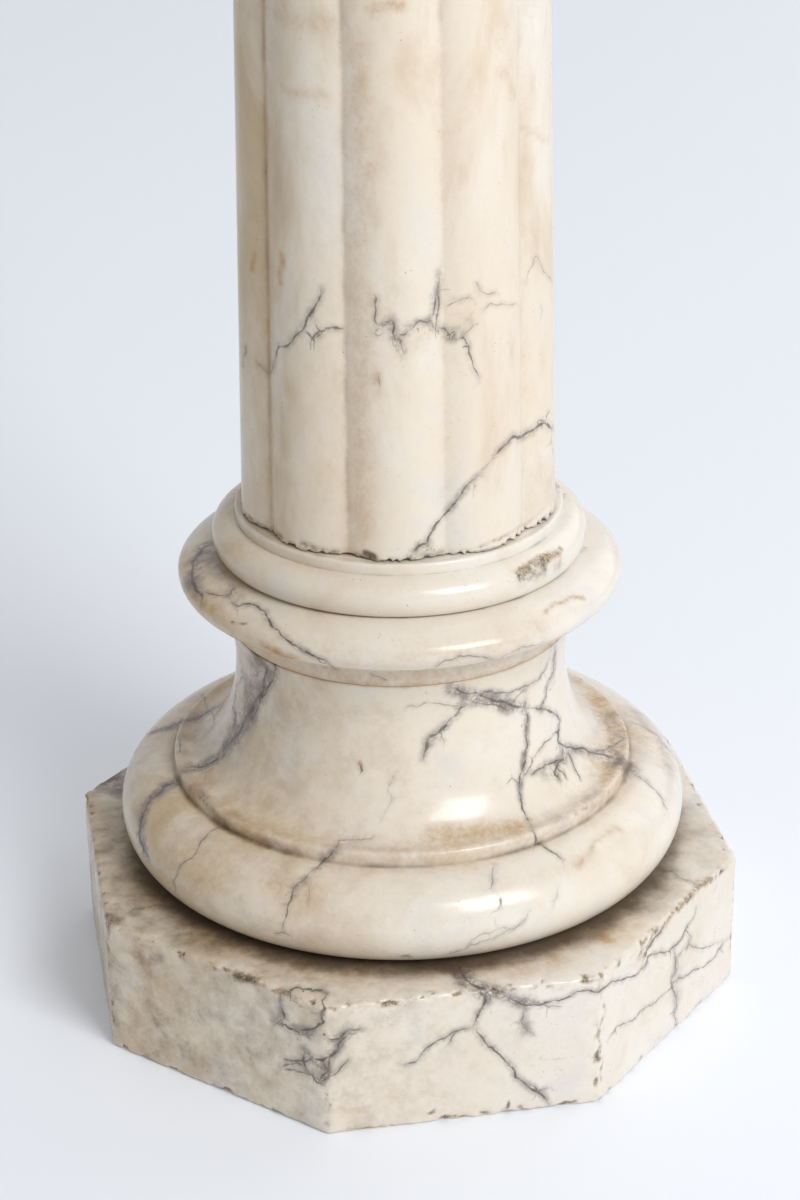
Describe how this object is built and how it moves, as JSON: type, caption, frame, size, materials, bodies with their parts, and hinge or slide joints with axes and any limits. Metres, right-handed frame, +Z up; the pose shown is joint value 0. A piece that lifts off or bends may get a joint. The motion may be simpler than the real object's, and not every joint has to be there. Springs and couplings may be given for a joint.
{
  "type": "reeded marble pedestal column",
  "caption": "Marble pedestal column with a reeded shaft on moulded rings, a scotia base and an octagonal plinth, topped by a plain capital and octagonal abacus.",
  "frame": {"origin": "centre of the plinth's underside, on the floor", "axes": "+Z up along the column's axis, +X and +Y square to two of the plinth's eight faces"},
  "size_m": [0.304, 0.304, 1.0183],
  "materials": {
    "plinth_marble": "worn polish",
    "turned_marble": "polished"
  },
  "bodies": {
    "root": {"plinth": "plinth_marble", "base": "turned_marble", "ring": "turned_marble", "shaft": "turned_marble", "capital": "turned_marble", "abacus": "plinth_marble"}
  },
  "joints": []
}
